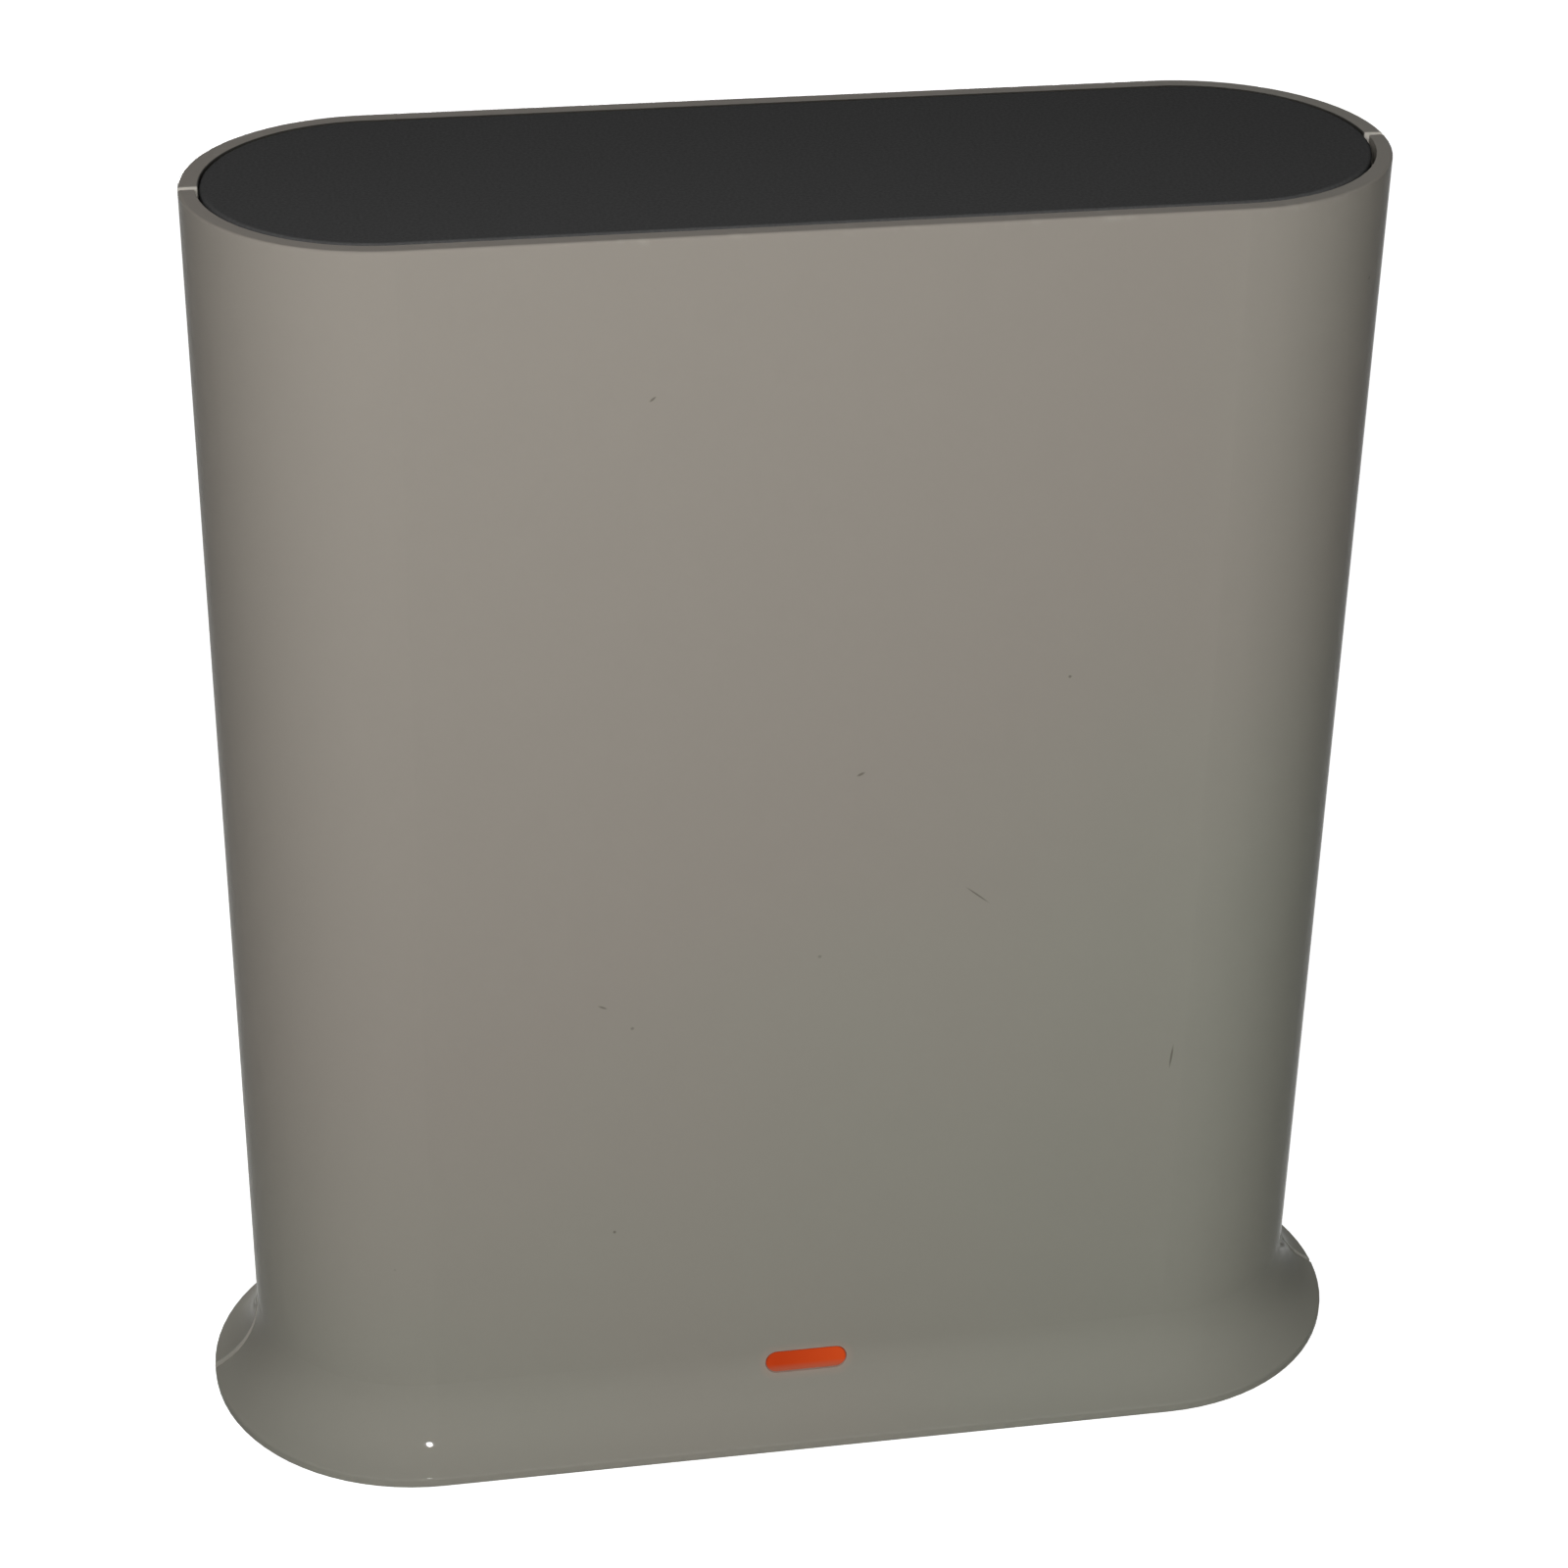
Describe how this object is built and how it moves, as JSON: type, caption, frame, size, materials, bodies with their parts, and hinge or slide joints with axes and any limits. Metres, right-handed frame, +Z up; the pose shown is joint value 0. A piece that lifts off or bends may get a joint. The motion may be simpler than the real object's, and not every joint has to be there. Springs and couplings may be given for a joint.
{
  "type": "security camera base station",
  "caption": "Upright hub for wireless cameras: capsule-shaped two-shell body with flared foot, set-in top cover, lit status slot, rear port panel and sprung pairing and reset switches.",
  "frame": {"origin": "on the ground, under the middle of the foot", "axes": "+X to the right seen from the front, +Y to the rear, +Z up; the front faces -Y"},
  "size_m": [0.1214, 0.0446, 0.1332],
  "materials": {
    "shell": "gloss moulded, warm light grey",
    "cover": "fine matt, dark grey",
    "panel": "fine matt, dark grey",
    "base": "fine matt, mid grey",
    "button": "satin, light grey",
    "foot_rubber": "matt",
    "screw_steel": "zinc plated",
    "lit_pipe": "translucent, lit amber from behind",
    "led_case": "moulded",
    "board_laminate": "solder mask over glass laminate",
    "chip_epoxy": "moulded",
    "pad": "soft",
    "sink_aluminium": "extruded",
    "tinplate": "bright tin plate",
    "spring_brass": "plated",
    "capacitor_can": "bright",
    "socket_plastic": "moulded",
    "plunger_plastic": "moulded"
  },
  "bodies": {
    "housing": {"front_shell": "shell", "rear_shell": "shell", "top_cover": "cover", "base_plate": "base", "rubber_feet": "foot_rubber", "base_screws": "screw_steel", "port_panel": "panel", "light_pipe": "lit_pipe", "status_led": "led_case", "main_board": "board_laminate", "board_screws": "screw_steel", "processor": "chip_epoxy", "memory_chips": "chip_epoxy", "thermal_pad": "pad", "heat_sink": "sink_aluminium", "radio_shield": "tinplate", "antenna_left": "spring_brass", "antenna_middle": "spring_brass", "antenna_right": "spring_brass", "ethernet_transformer": "chip_epoxy", "capacitors": "capacitor_can", "inductors": "chip_epoxy", "ethernet_shield": "tinplate", "ethernet_insert": "socket_plastic", "ethernet_contacts": "spring_brass", "usb_shell": "tinplate", "usb_tongue": "socket_plastic", "usb_contacts": "spring_brass", "dc_jack_body": "socket_plastic", "dc_jack_pin": "tinplate", "sync_switch": "socket_plastic", "reset_switch": "socket_plastic"},
    "sync_button": {"sync_button": "button", "sync_plunger": "plunger_plastic"},
    "reset_plunger": {"reset_plunger": "plunger_plastic"}
  },
  "joints": [
    {"name": "sync_press", "type": "slide", "parent": "housing", "child": "sync_button", "axis": [0, -1, 0], "range_m": [0, 0.0005], "stiffness_N_per_m": 800},
    {"name": "reset_press", "type": "slide", "parent": "housing", "child": "reset_plunger", "axis": [0, -1, 0], "range_m": [0, 0.0005], "stiffness_N_per_m": 800}
  ]
}
